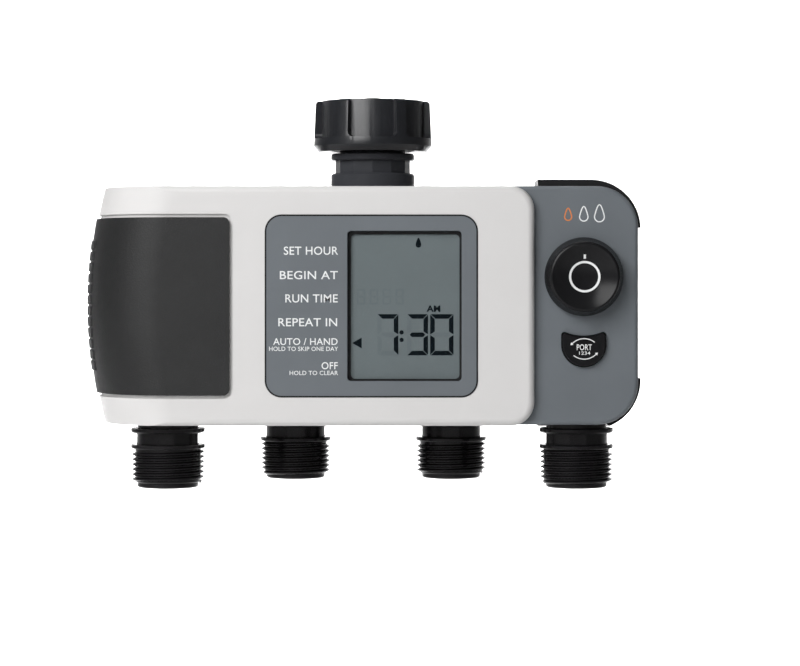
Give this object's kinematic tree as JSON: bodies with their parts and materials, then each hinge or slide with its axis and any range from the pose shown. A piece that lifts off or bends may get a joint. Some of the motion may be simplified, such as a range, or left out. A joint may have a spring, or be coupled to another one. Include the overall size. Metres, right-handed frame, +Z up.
{
  "type": "hose watering timer",
  "caption": "Garden hose watering timer: swivel tap nut on top, display panel and battery drawer in front, dial and zone button at the right, male hose outlets below.",
  "frame": {"origin": "centre of the tap seat, the top face of the inlet washer", "axes": "+X right seen from the front, +Y to the rear, +Z up along the inlet"},
  "size_m": [0.2043, 0.0924, 0.1423],
  "materials": {
    "black_plastic": "satin",
    "board": "satin",
    "cell": "printed sleeve",
    "coil": "taped",
    "dark_textured_plastic": "fine texture",
    "filter_plastic": "satin",
    "grey_plastic": "satin",
    "knob_plastic": "satin",
    "lcd_face": "satin",
    "neck_plastic": "satin",
    "nut_plastic": "fine texture",
    "outlet_plastic": "gloss",
    "seal_rubber": "matt",
    "steel": "plated",
    "water_body_plastic": "satin",
    "white_plastic": "satin",
    "window_glass": "clear"
  },
  "bodies": {
    "housing": {"battery_bay": "black_plastic", "casing_gasket": "seal_rubber", "control_housing": "grey_plastic", "control_pcb": "board", "display_panel": "grey_plastic", "encoder_body": "black_plastic", "front_casing": "white_plastic", "housing_screws": "steel", "inlet_filter": "filter_plastic", "inlet_gallery": "water_body_plastic", "inlet_neck": "neck_plastic", "inlet_oring": "seal_rubber", "inlet_washer": "seal_rubber", "lcd_module": "lcd_face", "lcd_window": "window_glass", "main_pcb": "board", "outlet_nipple_1": "outlet_plastic", "outlet_nipple_2": "outlet_plastic", "outlet_nipple_3": "outlet_plastic", "outlet_nipple_4": "outlet_plastic", "outlet_orings": "seal_rubber", "pcb_screws": "steel", "rear_housing": "black_plastic", "solenoid_coil_1": "coil", "solenoid_coil_2": "coil", "solenoid_coil_3": "coil", "solenoid_coil_4": "coil", "valve_body_1": "water_body_plastic", "valve_body_2": "water_body_plastic", "valve_body_3": "water_body_plastic", "valve_body_4": "water_body_plastic", "valve_bonnet_1": "water_body_plastic", "valve_bonnet_2": "water_body_plastic", "valve_bonnet_3": "water_body_plastic", "valve_bonnet_4": "water_body_plastic", "valve_diaphragm_1": "seal_rubber", "valve_diaphragm_2": "seal_rubber", "valve_diaphragm_3": "seal_rubber", "valve_diaphragm_4": "seal_rubber", "zone_switch": "black_plastic"},
    "inlet_nut": {"inlet_nut": "nut_plastic"},
    "battery_drawer": {"battery_cover": "dark_textured_plastic", "battery_tray": "black_plastic", "battery_contacts": "steel", "battery_cell_1": "cell", "battery_cell_2": "cell", "battery_cell_3": "cell", "battery_cell_4": "cell"},
    "press_collar": {"encoder_plunger": "black_plastic"},
    "dial": {"dial_knob": "knob_plastic", "encoder_shaft": "steel"},
    "zone_button": {"zone_button": "knob_plastic"},
    "plunger_1": {"solenoid_plunger_1": "steel"},
    "plunger_2": {"solenoid_plunger_2": "steel"},
    "plunger_3": {"solenoid_plunger_3": "steel"},
    "plunger_4": {"solenoid_plunger_4": "steel"}
  },
  "joints": [
    {"name": "nut_turn", "type": "hinge", "parent": "housing", "child": "inlet_nut", "pos_m": [0, 0, 0], "axis": [0, 0, 1], "continuous": true},
    {"name": "battery_drawer_slide", "type": "slide", "parent": "housing", "child": "battery_drawer", "axis": [-1, 0, 0], "range_m": [0, 0.06]},
    {"name": "dial_press", "type": "slide", "parent": "housing", "child": "press_collar", "axis": [0, 1, 0], "range_m": [0, 0.0012], "stiffness_N_per_m": 900, "springref_m": -0.002},
    {"name": "dial_turn", "type": "hinge", "parent": "press_collar", "child": "dial", "pos_m": [0.0759, 0, -0.054], "axis": [0, -1, 0], "continuous": true},
    {"name": "zone_press", "type": "slide", "parent": "housing", "child": "zone_button", "axis": [0, 1, 0], "range_m": [0, 0.001], "stiffness_N_per_m": 800, "springref_m": -0.002},
    {"name": "plunger_1_lift", "type": "slide", "parent": "housing", "child": "plunger_1", "axis": [0, 1, 0], "range_m": [0, 0.0015], "stiffness_N_per_m": 300, "springref_m": -0.003},
    {"name": "plunger_2_lift", "type": "slide", "parent": "housing", "child": "plunger_2", "axis": [0, 1, 0], "range_m": [0, 0.0015], "stiffness_N_per_m": 300, "springref_m": -0.003},
    {"name": "plunger_3_lift", "type": "slide", "parent": "housing", "child": "plunger_3", "axis": [0, 1, 0], "range_m": [0, 0.0015], "stiffness_N_per_m": 300, "springref_m": -0.003},
    {"name": "plunger_4_lift", "type": "slide", "parent": "housing", "child": "plunger_4", "axis": [0, 1, 0], "range_m": [0, 0.0015], "stiffness_N_per_m": 300, "springref_m": -0.003}
  ]
}
